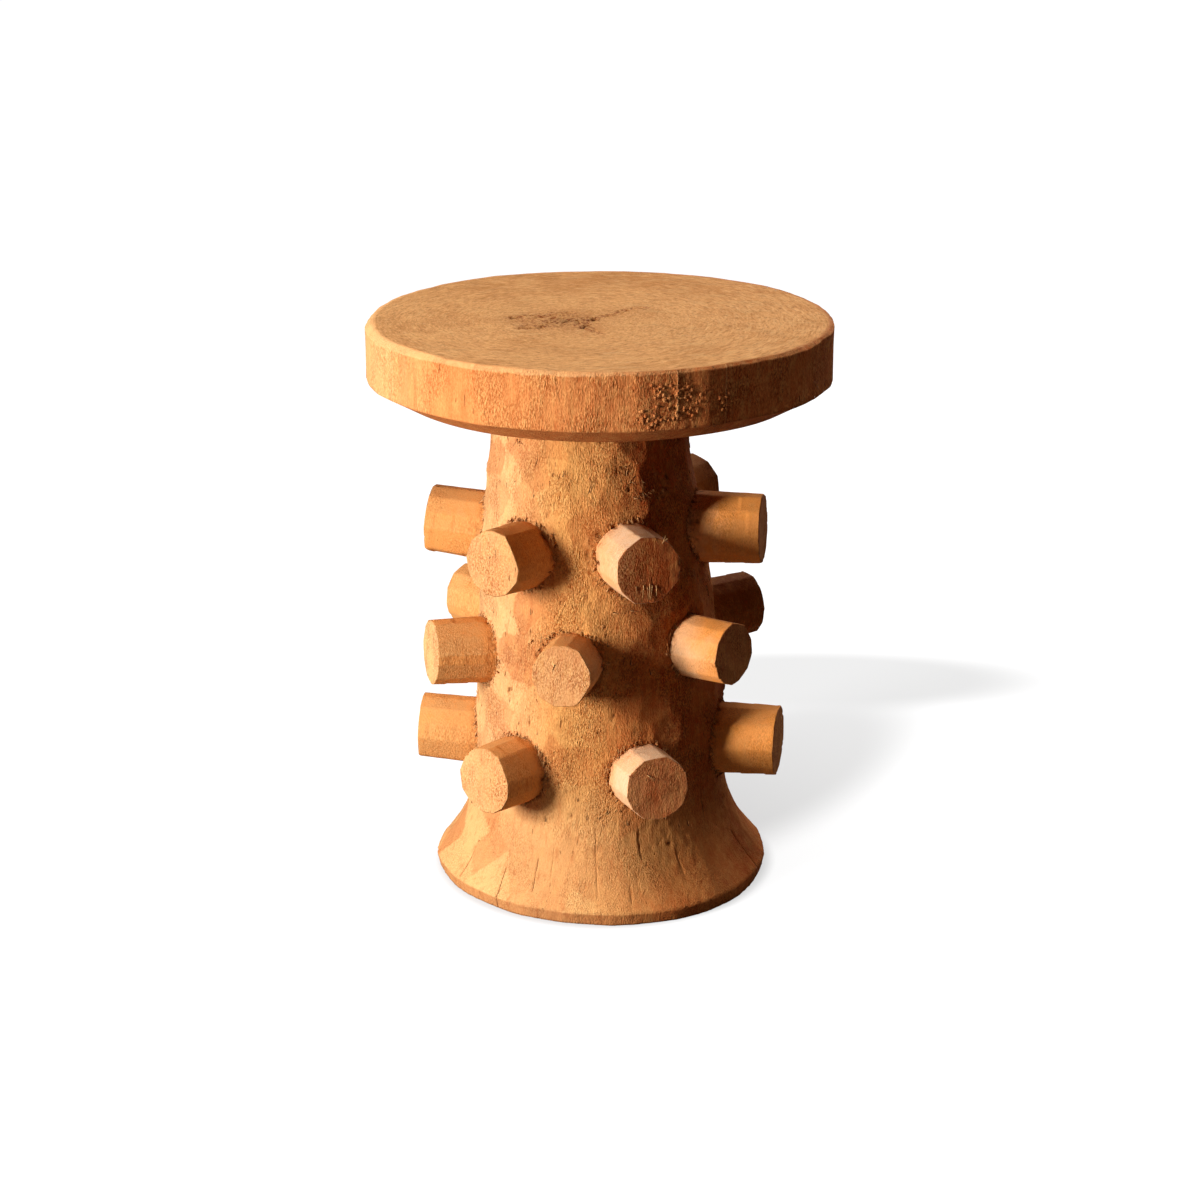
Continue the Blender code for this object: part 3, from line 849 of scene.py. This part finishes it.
def end_grain(here, place, centre):
    """The colour and relief of wood cut across its fibres: short flecks round the pith, mottling, and painted
    shade that darkens it towards the back.
    """
    flat = place.vector("SUBTRACT", centre).vector("MULTIPLY", (1.0, 1.0, 0.0))
    from_pith = flat.vector("LENGTH", (0, 0, 0), "Value")
    round_pith = flat.vector("NORMALIZE", (0, 0, 0)).vector("MULTIPLY", (7.0, 7.0, 0.0))
    outwards = here.add("ShaderNodeCombineXYZ", None, {"Z": from_pith * 260.0})
    flecks = round_pith.vector("ADD", outwards)
    streaks = flecks.grain(1.0, 4.0, 0.6)
    fine = flecks.vector("MULTIPLY", (3.0, 3.0, 2.2)).grain(1.0, 3.0, 0.7)
    mottle = place.grain(24.0, 5.0, 0.6)
    grit = place.grain(620.0, 4.0, 0.7)
    specks = place.grain(330.0, 1.0, 0.4).rise(0.72, 0.78)
    scratches = place.vector("MULTIPLY", (0.09, 1.0, 1.0)).grain(330.0, 2.0, 0.5).rise(0.58, 0.70)
    mottle_and_back_shade = mottle.rise(0.44, 0.62) * 0.5 + place.axis("Y").rise(0.02, 0.16) * 0.55
    wood = here.mix(mottle_and_back_shade, TOP_TAN, TOP_BROWN)
    wood = here.mix(streaks.rise(0.50, 0.66) * 0.5, wood, TOP_BROWN)
    wood = here.mix(streaks.rise(0.48, 0.34) * 0.35, wood, TOP_PALE)
    wood = here.mix(fine.rise(0.52, 0.66) * 0.40, wood, WOOD_BROWN)
    wood = here.mix(fine.rise(0.48, 0.34) * 0.45, wood, TOP_PALE)
    wood = here.mix(grit.rise(0.52, 0.66) * 0.22, wood, TOP_PALE)
    wood = here.mix(grit.rise(0.48, 0.34) * 0.18, wood, WOOD_BROWN)
    wood = here.mix(scratches * 0.4, wood, TOP_PALE)
    wood = here.mix(specks * 0.3, wood, WOOD_DARK)
    wood = wood.times(1.0 + (fine.rise(0.70, 0.30) - 0.5) * 0.15)
    return wood, streaks * 1.5 + fine * 1.5 + grit * 1.2 + scratches - specks


profile = []
for row in range(SEAT_TOP_ROWS + 1):
    share = row / SEAT_TOP_ROWS
    profile.append(((SEAT_RADIUS - SEAT_EDGE_EASE) * (0.5 * share + 0.5 * share**2), stool_height))
for share in (0.08, 0.35, 0.65, 0.92, 1.0):
    profile.append((SEAT_RADIUS - SEAT_EDGE_EASE * (1 - share), stool_height - SEAT_EDGE_EASE * share))
rim_top = stool_height - SEAT_EDGE_EASE
rim_bottom = seat_underside + SEAT_BEVEL_DROP
for row in range(1, SEAT_RIM_ROWS + 1):
    profile.append((SEAT_RADIUS, rim_top + (rim_bottom - rim_top) * row / SEAT_RIM_ROWS))
for row in range(1, SEAT_BEVEL_ROWS + 1):
    share = row / SEAT_BEVEL_ROWS
    profile.append((SEAT_RADIUS - SEAT_BEVEL_INSET * share, rim_bottom - SEAT_BEVEL_DROP * share))
for share in (0.75, 0.5, 0.25, 0.0):
    profile.append(((SEAT_RADIUS - SEAT_BEVEL_INSET) * share, seat_underside))

seat_wood, here, place, plain = wood_material("seat_wood", (0.0, 0.0, 0.0))
rightward = plain.axis("X")
# Painted shade: the rim and bevel turn red towards the right, away from the lamp. Painted light: they turn
# pale at the far left, which is lit.
right_shade = rightward.rise(-0.05, 0.11) * 0.95
left_light = rightward.rise(-0.11, -0.18) * 0.75
torn = rightward.rise(-0.08, 0.03) * 0.7 + 0.7
rim_wood, rim_relief = upright_wood(here, place, RIM_TAN, RIM_RED, SEAT_FIBRE_LENGTH, torn, right_shade, left_light)
top_wood, top_relief = end_grain(here, place, (PITH[0], PITH[1], 0.0))
top = here.painted("top")
wood = here.mix(top, rim_wood, top_wood)
finish_wood(seat_wood, here, place, wood, here.between(top, rim_relief, top_relief), SEAT_RELIEF)
seat = new_piece(rolled(profile, SEAT_STEPS), "seat_carved", seat_wood)
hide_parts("seat")


def seat_outline(angle):
    """The rim's radius all round, drawn as a circle with a slow waver."""
    waver = np.cos(2 * angle + 0.8) + 0.7 * np.cos(5 * angle + 2.0) + 0.5 * np.cos(9 * angle + 0.4)
    return SEAT_RADIUS + SEAT_WAVER * (waver / 2 - 0.5)


def along_line(points, corners):
    """How far points lie from a line of corners on the seat's top, and how far along it they are, 0 to 1."""
    nearest = np.full(len(points), 1.0)
    share = np.zeros(len(points))
    spans = len(corners) - 1
    for span in range(spans):
        first = np.array(corners[span])
        step = np.array(corners[span + 1]) - first
        part = np.clip((points[:, :2] - first) @ step / (step @ step), 0.0, 1.0)
        gap = np.hypot(*(points[:, :2] - first - part[:, None] * step).T)
        share = np.where(gap < nearest, (span + part) / spans, share)
        nearest = np.minimum(nearest, gap)
    return nearest, share


RIM_RIDGES = (
    (17.9, 0.405, 0.460, 0.00035, 0.0009),
    (30.8, 0.400, 0.470, 0.00035, 0.0010),
    (-53.0, 0.405, 0.450, 0.00060, 0.0005),
)
RIM_CRACKS = (
    (-9.5, 0.425, 0.452, 0.00025, 0.0007),
    (118.0, 0.410, 0.450, 0.00030, 0.0020),
    (-150.0, 0.405, 0.440, 0.00030, 0.0018),
)

blank = points_of(seat)
angle = np.arctan2(blank[:, 1], blank[:, 0])
spread = np.hypot(blank[:, 0], blank[:, 1])
height = blank[:, 2]
on_top = height > stool_height - 0.0001
rim = smooth_step((spread - SEAT_RADIUS + 0.010) / 0.008)
whole_rim = np.full(len(angle), SEAT_RADIUS)
axe = random.Random(8)
rim_cuts = [(facing(37), RIM_MIDDLE, 0.0016, 0.30, 1.2, 0.6)]
for stroke in range(RIM_STROKES):
    cut_angle = 2 * pi * (stroke + axe.uniform(-0.4, 0.4)) / RIM_STROKES
    cut_depth = axe.uniform(-0.0003, 0.0003)
    cut_height = RIM_MIDDLE + axe.uniform(-0.01, 0.01)
    rim_cuts.append((cut_angle, cut_height, cut_depth, 0.26, 1.2, axe.uniform(0.0, 0.5)))
flats, tint = hewn(angle, height, whole_rim, rim_cuts, RIM_FACET_EDGE)
edge_line = np.stack((np.cos(angle), np.sin(angle), np.zeros(len(angle))), axis=1)
more_on_left = np.exp(-(wrapped(angle - facing(-75)) / 0.75) ** 2)
ease = np.clip(0.48 + 0.50 * more_on_left + 0.22 * ripple(edge_line, 0.09, 12.0, 2), 0.3, 1.4)
eased_spread = SEAT_RADIUS - (SEAT_RADIUS - spread) * ease
eased_height = stool_height - (stool_height - height) * ease
at_edge = (height >= rim_top - ROUNDING_SLACK) & (spread > SEAT_RADIUS - SEAT_EDGE_EASE - ROUNDING_SLACK)
on_rim = (height < rim_top - ROUNDING_SLACK) & (height >= rim_bottom - ROUNDING_SLACK)
rim_scale = (stool_height - SEAT_EDGE_EASE * ease - rim_bottom) / (rim_top - rim_bottom)
top_scale = (SEAT_RADIUS - SEAT_EDGE_EASE * ease) / (SEAT_RADIUS - SEAT_EDGE_EASE)
inner = on_top & ~at_edge
spread = np.where(at_edge, eased_spread, np.where(inner, spread * top_scale, spread))
stretched = rim_bottom + (height - rim_bottom) * rim_scale
height = np.where(at_edge, eased_height, np.where(on_rim, stretched, height))

skin = np.stack((spread * np.cos(angle), spread * np.sin(angle), height), axis=1)
scab = np.exp(-(wrapped(angle - facing(17)) / 0.13) ** 2 - ((height - 0.430) / 0.012) ** 2)
scab += 0.8 * np.exp(-(wrapped(angle - facing(15)) / 0.11) ** 2 - ((height - 0.416) / 0.008) ** 2)
scab += 0.6 * np.exp(-(wrapped(angle - facing(31)) / 0.06) ** 2 - ((height - 0.424) / 0.009) ** 2)
scab = scab * rim * (on_rim | at_edge)
lumps = ripple(skin, 0.0034, 13.0, 3)
fibre = ripple(skin, (0.0035, 0.0035, 0.03), 6.0, 2)
angle, ridged = crack_open(angle, height, whole_rim, RIM_RIDGES)
angle, cracked = crack_open(angle, height, whole_rim, RIM_CRACKS)
spread = spread * seat_outline(angle) / SEAT_RADIUS - rim * flats
spread = spread + rim * (0.00025 * fibre + ridged - cracked) + scab * 0.0008 * lumps
swell = TOP_SWELL * ripple(skin, 0.035, 8.0, 2) * (1 - rim)
pith = np.exp(-(((skin[:, 0] - PITH[0] + 0.008) / 0.036) ** 2 + ((skin[:, 1] - PITH[1]) / 0.034) ** 2) ** 2)
crumble = ripple(skin, (0.0040, 0.0055, 0.0040), 9.0, 3)
broken = np.zeros(len(skin))
for line in PITH_LINES:
    gap, share = along_line(skin, line)
    broken = np.maximum(broken, np.exp(-((gap / 0.0042) ** 2)) * (1.0 - 0.4 * share))
pits = (above(crumble, 0.30) * pith * 0.8 + above(crumble + 0.35 * broken, 0.22) * broken * 1.5) * on_top
level = height + np.where(on_top, swell - PIT_DEPTH * np.clip(pits, 0.0, 1.0), 0.0)
centre_x = (seat_outline(np.zeros(1)) - seat_outline(np.full(1, pi)))[0] / 2
centre_y = (seat_outline(np.full(1, pi / 2)) - seat_outline(np.full(1, -pi / 2)))[0] / 2
carve(seat, np.stack((spread * np.cos(angle) - centre_x, spread * np.sin(angle) - centre_y, level), axis=1))
opened = smooth_step((cracked - 0.0003) / 0.0008)
# Painted shade in the pits, the cracks and the low spots of the scab's lumps.
paint(seat, "hollow", 0.6 * pits + opened + 0.3 * scab * above(-lumps, 0.25))
# Pale on the ridges, and as painted highlight on the high spots of the scab's lumps and along the eased top
# edge, strongest on the lit left.
pale_edge_highlight = at_edge * (0.2 + 0.4 * smooth_step((0.06 - skin[:, 0]) / 0.10) + 0.3 * lumps)
paint(seat, "fresh", rim * ridged / 0.0016 + 0.3 * scab * above(lumps, 0.15) + pale_edge_highlight)
paint(seat, "crumbly", np.maximum((0.8 * pith * smooth_step(0.9 + crumble) + broken) * on_top, 0.6 * scab))
paint(seat, "top", inner)
# The bevel under the rim takes a full tint, painted shade under the seat.
paint(seat, "tint", np.where(height < rim_bottom - ROUNDING_SLACK, 1.0, tint))

# Beads of burr wood on the rim: turn from the front in degrees, height, reach across and up, and how many
BURRS = (
    (15, 0.434, 0.0060, 0.0035, 40),
    (20, 0.432, 0.0050, 0.0035, 34),
    (11, 0.416, 0.0060, 0.0030, 30),
    (20, 0.418, 0.0070, 0.0040, 30),
    (31, 0.421, 0.0030, 0.0060, 14),
    (-120, 0.424, 0.0080, 0.0060, 40),
)
bm = bmesh.new()
bm.from_mesh(seat.data)
seat_skin = BVHTree.FromBMesh(bm)
bm.clear()
bead_fresh = []
for turn, level, reach, climb, count in BURRS:
    for number in range(count):
        bearing = facing(turn) + axe.gauss(0.0, reach) / SEAT_RADIUS
        outward = Vector((cos(bearing), sin(bearing), 0.0))
        middle = Vector((0.0, 0.0, level + axe.gauss(0.0, climb)))
        base = seat_skin.ray_cast(middle + outward * CLEAR_OF_WOOD, -outward)[0]
        base = base - outward * axe.uniform(0.0, 0.0004)
        shape = Matrix.Diagonal((1.0, 1.0, axe.uniform(0.8, 1.3), 1.0))
        made = bmesh.ops.create_icosphere(bm, subdivisions=2, radius=axe.uniform(0.0007, 0.0015),
                                          matrix=Matrix.Translation(base) @ shape)
        bead_fresh.extend([axe.uniform(0.0, 0.2)] * len(made["verts"]))
beads = new_piece(bm, "seat_burrs", seat_wood)
paint(beads, "fresh", np.array(bead_fresh))


# Floor
# A plain white sheet that the stool stands on, part of the stage and not of the stool. It shows white, with
# the shadow that the lamps cast and three soft ovals of shade: the seat's, the column's and the foot's.

FLOOR_SIZE = 14.0
FLOOR_GLOW = 0.88
SHADE_GLOW = 0.60
SEAT_SHADE = {"Location": (0.200, 0.415, 0.0), "Scale": (0.245, 0.088, 1.0)}
COLUMN_SHADE = {
    "Location": (0.115, 0.165, 0.0),
    "Rotation": (0.0, 0.0, radians(54)),
    "Scale": (0.285, 0.118, 1.0),
}
FOOT_SHADE = {"Location": (FOOT_SHIFT, 0.0, 0.0), "Scale": (FOOT_RADIUS, FOOT_RADIUS, 1.0)}
bm = bmesh.new()
bmesh.ops.create_grid(bm, x_segments=1, y_segments=1, size=FLOOR_SIZE / 2)
mesh = bpy.data.meshes.new("floor")
bm.to_mesh(mesh)
bm.free()
floor = bpy.data.objects.new("floor", mesh)
bpy.context.scene.collection.objects.link(floor)
material = bpy.data.materials.new("floor_white")
material.use_nodes = True
here = Shade(material.node_tree)
plain = here.add("ShaderNodeTexCoord", output="Object")


def seen_rays(here):
    """1 for the rays that show the background as it is, to the camera or in a reflection, and 0 for light."""
    kinds = ("Is Camera Ray", "Is Glossy Ray", "Is Transmission Ray")
    camera, glossy, clear = [here.add("ShaderNodeLightPath", output=kind) for kind in kinds]
    return camera + glossy + clear


def clear_of(shade, inner, outer):
    """0 inside a shade's oval on the floor, 1 outside it, soft between the inner and outer shares of it."""
    oval = here.add("ShaderNodeMapping", {"vector_type": "TEXTURE"}, {"Vector": plain, **shade})
    return oval.vector("LENGTH", (0, 0, 0), "Value").rise(inner, outer)


bright = here.add("ShaderNodeEmission", None, {"Color": colour(1, 1, 1), "Strength": FLOOR_GLOW})
shaded = here.add("ShaderNodeEmission", None, {"Color": colour(1, 1, 1), "Strength": SHADE_GLOW})
clear = clear_of(SEAT_SHADE, 0.62, 1.14) * clear_of(COLUMN_SHADE, 0.62, 1.14)
clear = clear * clear_of(FOOT_SHADE, 0.98, 1.07)
glow = here.add("ShaderNodeMixShader", None, {0: clear, 1: shaded, 2: bright})
matt = here.add("ShaderNodeBsdfDiffuse", None, {"Color": colour(0.2, 0.2, 0.2)})
shown = here.add("ShaderNodeAddShader", None, {0: glow, 1: matt})
dull = here.add("ShaderNodeBsdfDiffuse", None, {"Color": colour(0.10, 0.085, 0.07)})
sheet = here.add("ShaderNodeMixShader", None, {0: seen_rays(here), 1: dull, 2: shown})
material.node_tree.links.new(sheet.socket, material.node_tree.nodes["Material Output"].inputs["Surface"])
floor.data.materials.append(material)


# Light
# A tall soft lamp on the left, a wide soft one overhead, a weaker one behind on the right, and a weak, warm
# fill all round. To the camera and in reflections the room is white.


def aim(name, light, turn, climb, distance, target):
    """Puts a lamp at a turn from the front and a climb, in degrees, and a distance, aimed at a point."""
    lamp = bpy.data.objects.new(name, light)
    away = Vector((sin(radians(turn)) * cos(radians(climb)), -cos(radians(turn)) * cos(radians(climb)),
                   sin(radians(climb))))
    lamp.location = Vector(target) + away * distance
    lamp.rotation_mode = "QUATERNION"
    lamp.rotation_quaternion = away.to_track_quat("Z", "Y")
    bpy.context.scene.collection.objects.link(lamp)


key = bpy.data.lights.new("key", "AREA")
key.shape = "RECTANGLE"
key.size = 0.24
key.size_y = 0.50
key.energy = 34.5
aim("key", key, -55, 11, 1.5, (0.0, 0.0, 0.24))
overhead = bpy.data.lights.new("overhead", "SUN")
overhead.energy = 2.4
overhead.angle = radians(40)
aim("overhead", overhead, -55, 85, 2.0, (0.0, 0.0, 0.4))
back = bpy.data.lights.new("back", "AREA")
back.size = 0.8
back.energy = 13.0
aim("back", back, 160, 27, 1.8, (0.0, 0.0, 0.25))

world = bpy.data.worlds.new("studio")
world.use_nodes = True
bpy.context.scene.world = world
here = Shade(world.node_tree)
seen = seen_rays(here)
fill = here.add("ShaderNodeBackground", None, {"Color": colour(1.0, 0.6, 0.4), "Strength": 0.03})
white = here.add("ShaderNodeBackground", None, {"Color": colour(1, 1, 1), "Strength": 1.0})
room = here.add("ShaderNodeMixShader", None, {0: seen, 1: fill, 2: white})
world.node_tree.links.new(room.socket, world.node_tree.nodes["World Output"].inputs["Surface"])
bpy.context.scene.view_settings.view_transform = "Standard"


# Camera
# In front of the stool and above it, about two metres off with a long lens, and looking down a little, so
# that the seat shows as a wide oval.

CAMERA_PLACE = (0.0, -1.999, 0.897)
CAMERA_DIP = 18.67
CAMERA_LENS = 79.68
camera_data = bpy.data.cameras.new("camera")
camera_data.sensor_width = 36.0
camera_data.lens = CAMERA_LENS
camera = bpy.data.objects.new("camera", camera_data)
camera.location = CAMERA_PLACE
camera.rotation_euler = (radians(90 - CAMERA_DIP), 0.0, 0.0)
bpy.context.scene.collection.objects.link(camera)
bpy.context.scene.camera = camera
